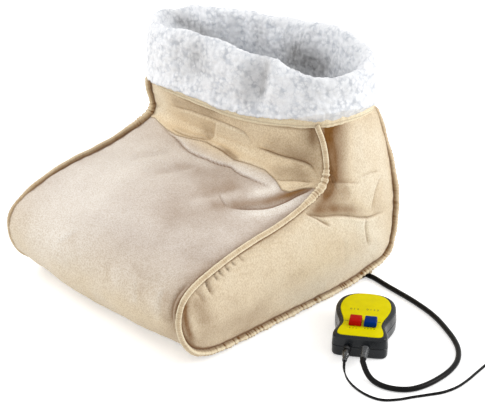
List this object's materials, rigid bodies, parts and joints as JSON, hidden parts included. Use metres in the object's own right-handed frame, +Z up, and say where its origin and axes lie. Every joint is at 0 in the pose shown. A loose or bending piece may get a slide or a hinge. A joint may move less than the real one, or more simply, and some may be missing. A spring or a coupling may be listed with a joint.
{
  "type": "electric foot warmer",
  "caption": "Padded two-foot warmer boot with a fleece cuff, heating pad and massage motors, a hand controller on a cable and a plug-in adaptor lead.",
  "frame": {"origin": "on the floor, under the middle of the boot, in the plane of the sole's bottom face (flat_face mount sole_rest)", "axes": "+Z up, -Y towards the toes, +X towards the side that the control cable leaves"},
  "size_m": [0.5482, 0.4374, 0.2665],
  "materials": {
    "side_suede": "beige microsuede, matte nap",
    "vamp_suede": "pale beige microsuede, matte nap",
    "binding": "folded beige tape, gathered",
    "fleece": "white curly fleece",
    "sole": "flat beige sole cloth",
    "foam": "open-cell foam",
    "felt": "grey felt",
    "heating_wire": "red insulated wire",
    "motor_plastic": "plain moulded plastic",
    "steel": "plated steel",
    "brass": "plain brass",
    "black_plastic": "black moulded plastic, half gloss",
    "yellow_plate": "lemon yellow, half gloss",
    "red_knob": "red moulded plastic",
    "blue_knob": "blue moulded plastic",
    "board": "green circuit board",
    "cable": "black vinyl cable sheath",
    "adaptor_plastic": "black moulded plastic, fine texture"
  },
  "bodies": {
    "boot": {"side_panel_right": "side_suede", "side_panel_left": "side_suede", "shaft_front_panel": "side_suede", "back_panel": "side_suede", "vamp_panel": "vamp_suede", "seam_binding_right": "binding", "seam_binding_left": "binding", "collar_binding": "binding", "fleece_cuff": "fleece", "lining_right": "fleece", "lining_left": "fleece", "lining_shaft_front": "fleece", "lining_vamp": "fleece", "lining_back": "fleece", "insole": "fleece", "sole_panel": "sole", "cable_grommet": "cable", "foam_base": "foam", "thermal_cut_out": "steel", "heating_pad": "felt", "heating_wire": "heating_wire", "motor_housing_lower_right": "motor_plastic", "motor_housing_upper_right": "motor_plastic", "motor_housing_lower_left": "motor_plastic", "motor_housing_upper_left": "motor_plastic", "motor_can_right": "steel", "motor_can_left": "steel", "controller_housing_bottom": "black_plastic", "controller_housing_top": "black_plastic", "controller_faceplate": "yellow_plate", "housing_screw_1": "steel", "housing_screw_2": "steel", "housing_screw_3": "steel", "housing_screw_4": "steel", "circuit_board": "board", "red_switch_body": "black_plastic", "blue_switch_body": "black_plastic", "cable_strain_relief": "cable", "dc_jack": "black_plastic", "control_cable": "cable"},
    "red_knob": {"red_switch_knob": "red_knob"},
    "blue_knob": {"blue_switch_knob": "blue_knob"},
    "rotor_right": {"motor_shaft_right": "steel", "eccentric_weight_right": "brass"},
    "rotor_left": {"motor_shaft_left": "steel", "eccentric_weight_left": "brass"},
    "adaptor": {"dc_plug_barrel": "steel", "dc_plug_grip": "cable", "adaptor_lead": "cable", "adaptor_lead_coil": "cable", "adaptor_lead_tail": "cable", "lead_tie": "cable", "adaptor_case_front": "adaptor_plastic", "adaptor_case_back": "adaptor_plastic", "adaptor_strain_relief": "cable", "transformer": "steel", "mains_pin_1": "brass", "mains_pin_2": "brass"}
  },
  "joints": [
    {"name": "red_knob_slide", "type": "slide", "parent": "boot", "child": "red_knob", "axis": [-0.5772, 0.8166, 0], "range_m": [-0.003, 0.003]},
    {"name": "blue_knob_slide", "type": "slide", "parent": "boot", "child": "blue_knob", "axis": [-0.5772, 0.8166, 0], "range_m": [-0.003, 0.003]},
    {"name": "motor_spin_right", "type": "hinge", "parent": "boot", "child": "rotor_right", "pos_m": [0.062, -0.05, 0.016], "axis": [1, 0, 0], "continuous": true},
    {"name": "motor_spin_left", "type": "hinge", "parent": "boot", "child": "rotor_left", "pos_m": [-0.062, -0.05, 0.016], "axis": [1, 0, 0], "continuous": true},
    {"name": "dc_plug_pull", "type": "slide", "parent": "boot", "child": "adaptor", "axis": [0.5772, -0.8166, 0], "range_m": [0, 0.012]}
  ]
}
